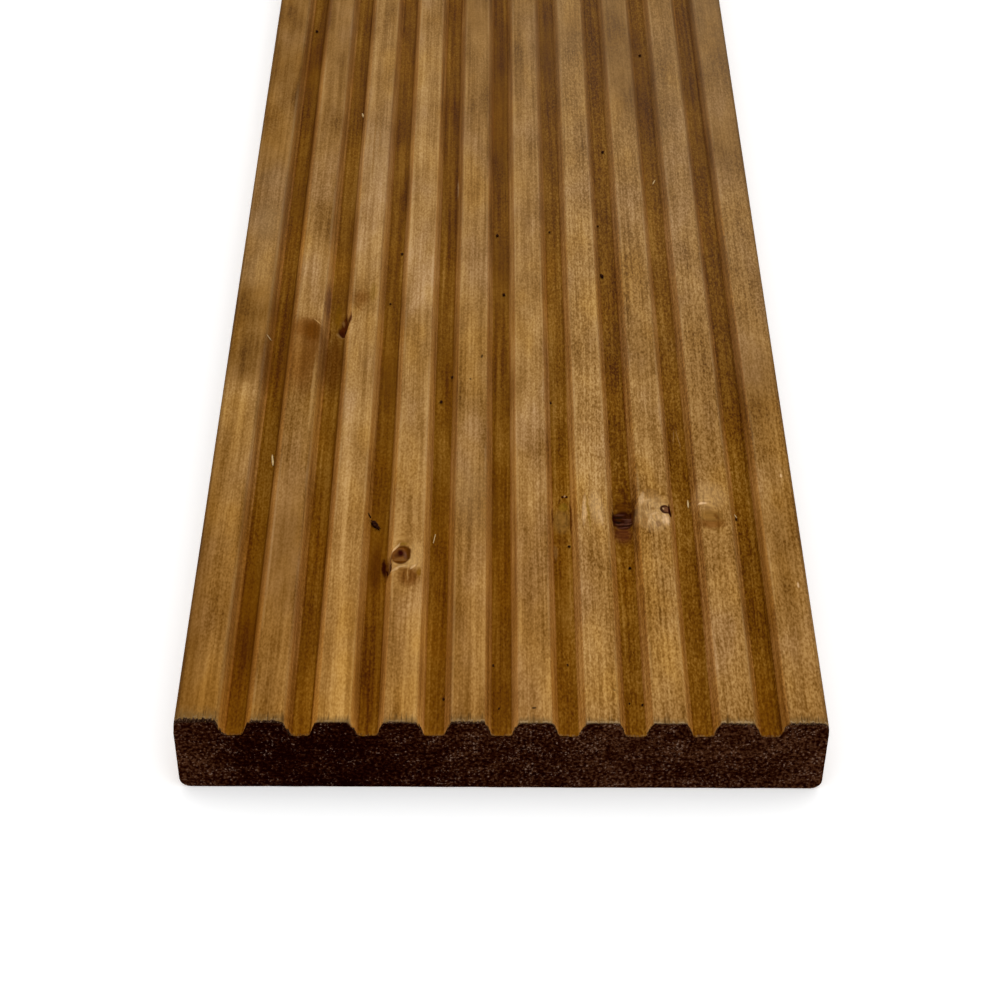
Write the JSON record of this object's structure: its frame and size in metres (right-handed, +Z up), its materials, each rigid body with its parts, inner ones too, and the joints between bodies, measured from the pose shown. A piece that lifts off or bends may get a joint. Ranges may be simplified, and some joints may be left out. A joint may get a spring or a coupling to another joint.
{
  "type": "grooved decking board",
  "caption": "Softwood decking plank with flat-bottomed drainage grooves along its top face, eased long edges, a plain underside and square sawn ends.",
  "frame": {"origin": "middle of the flat underside", "axes": "+Y along the board, +X across it, +Z up out of the grooved face"},
  "size_m": [0.145, 1.8, 0.021],
  "materials": {
    "treated_softwood": "brown pressure-treated softwood, planed, matt, with darker grooves and near-black sawn ends"
  },
  "bodies": {
    "root": {"decking_board": "treated_softwood"}
  },
  "joints": []
}
